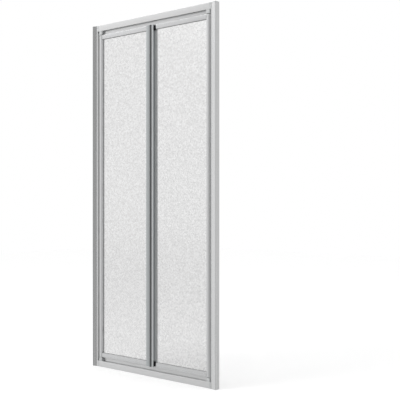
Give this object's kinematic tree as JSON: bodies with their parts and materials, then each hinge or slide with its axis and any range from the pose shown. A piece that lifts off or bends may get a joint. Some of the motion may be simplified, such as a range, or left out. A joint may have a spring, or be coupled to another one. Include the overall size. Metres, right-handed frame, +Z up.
{
  "type": "shower door",
  "caption": "Framed folding shower door for a niche: a pivot leaf and a sliding leaf of textured glass in satin aluminium, hinged together, with wall channels, header, sill and a finger grip profile.",
  "frame": {"origin": "centre of the door at floor level, on the underside of the sill", "axes": "+X from the pivot jamb to the closing jamb, +Y from the room into the shower, +Z up"},
  "size_m": [0.904, 0.032, 1.9],
  "materials": {
    "satin_aluminium": "satin anodised, drawn along the profile",
    "steel": "bright stainless",
    "light_plastic": "light grey moulding",
    "black_plastic": "black moulding",
    "grey_plastic": "dark grey plastic of the hinge profile and the locks",
    "grey_seal": "grey flexible seal",
    "dark_seal": "dark glazing gasket",
    "textured_glass": "pebbled obscure glass"
  },
  "bodies": {
    "frame": {"wall_channel_left": "satin_aluminium", "wall_channel_right": "satin_aluminium", "jamb_left": "satin_aluminium", "jamb_right": "satin_aluminium", "channel_cap_left": "light_plastic", "channel_cap_right": "light_plastic", "wall_screw_left_1": "steel", "wall_screw_left_2": "steel", "wall_screw_right_1": "steel", "wall_screw_right_2": "steel", "clamp_screw_left_1": "steel", "clamp_screw_left_2": "steel", "clamp_screw_right_1": "steel", "clamp_screw_right_2": "steel", "header": "satin_aluminium", "sill": "satin_aluminium", "corner_key_top_left": "light_plastic", "corner_key_top_right": "light_plastic", "corner_key_bottom_left": "light_plastic", "corner_key_bottom_right": "light_plastic", "pivot_block_top": "light_plastic", "pivot_block_bottom": "light_plastic", "pivot_lock_top": "grey_plastic", "pivot_lock_bottom": "grey_plastic", "pivot_seal": "grey_seal", "strike_seal": "grey_seal"},
    "leaf_a": {"stile_a_pivot": "satin_aluminium", "stile_a_meeting": "satin_aluminium", "rail_a_top": "satin_aluminium", "rail_a_bottom": "satin_aluminium", "glass_a": "textured_glass", "gasket_a_top": "dark_seal", "gasket_a_bottom": "dark_seal", "gasket_a_left": "grey_seal", "gasket_a_right": "grey_seal", "pivot_shoe_top": "steel", "pivot_shoe_bottom": "steel", "hinge_knuckle_a_top": "grey_plastic", "hinge_knuckle_a_bottom": "grey_plastic", "hinge_rod": "steel", "centre_seal": "dark_seal"},
    "leaf_b": {"grip_profile": "satin_aluminium", "stile_b_meeting": "satin_aluminium", "stile_b_closing": "satin_aluminium", "rail_b_top": "satin_aluminium", "rail_b_bottom": "satin_aluminium", "glass_b": "textured_glass", "gasket_b_top": "dark_seal", "gasket_b_bottom": "dark_seal", "gasket_b_left": "grey_seal", "gasket_b_right": "grey_seal", "grip_plug_top": "black_plastic", "grip_plug_bottom": "black_plastic", "hinge_knuckle_b": "grey_plastic", "guide_shoe_top": "steel", "guide_shoe_bottom": "steel", "closing_seal": "grey_seal"},
    "guide_top": {"guide_block_top": "light_plastic"},
    "guide_bottom": {"guide_block_bottom": "light_plastic"}
  },
  "joints": [
    {"name": "leaf_a_swing", "type": "hinge", "parent": "frame", "child": "leaf_a", "pos_m": [-0.394, -0.0005, 0.95], "axis": [0, 0, 1], "range_deg": [0, 85]},
    {"name": "leaf_b_fold", "type": "hinge", "parent": "leaf_a", "child": "leaf_b", "pos_m": [0.002, -0.0115, 0.95], "axis": [0, 0, 1], "range_deg": [-170, 0]},
    {"name": "guide_top_turn", "type": "hinge", "parent": "leaf_b", "child": "guide_top", "pos_m": [0.398, -0.0005, 1.865], "axis": [0, 0, 1], "range_deg": [0, 85]},
    {"name": "guide_bottom_turn", "type": "hinge", "parent": "leaf_b", "child": "guide_bottom", "pos_m": [0.398, -0.0005, 0.035], "axis": [0, 0, 1], "range_deg": [0, 85]}
  ],
  "couplings": [
    {"joint": "leaf_b_fold", "follows": "leaf_a_swing", "ratio": -2},
    {"joint": "guide_top_turn", "follows": "leaf_a_swing", "ratio": 1},
    {"joint": "guide_bottom_turn", "follows": "leaf_a_swing", "ratio": 1}
  ]
}
